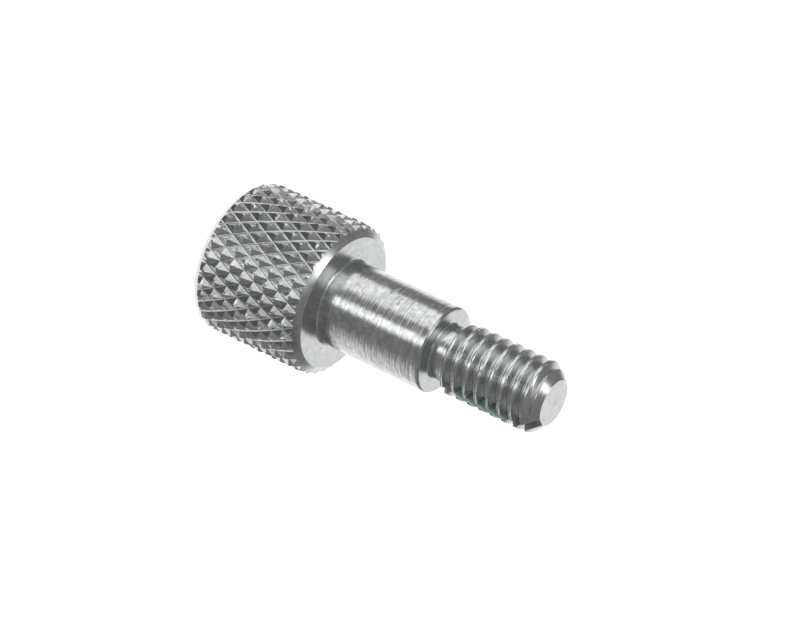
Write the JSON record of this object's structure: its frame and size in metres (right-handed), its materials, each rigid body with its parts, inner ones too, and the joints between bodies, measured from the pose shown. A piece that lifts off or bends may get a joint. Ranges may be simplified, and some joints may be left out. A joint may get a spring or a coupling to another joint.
{
  "type": "shoulder screw",
  "caption": "Knurled-head shoulder screw in steel, with a plain ground shoulder, a relieved thread and a nylon locking strip.",
  "frame": {"origin": "centre of the head's flat free face", "axes": "+Z along the screw's axis, from the head to the tip; -Y through the middle of the locking strip's slot"},
  "size_m": [0.0172, 0.0172, 0.0402],
  "materials": {
    "steel": "bright turned and ground",
    "nylon": "plain, slightly translucent"
  },
  "bodies": {
    "root": {"screw": "steel", "locking_strip": "nylon"}
  },
  "joints": []
}
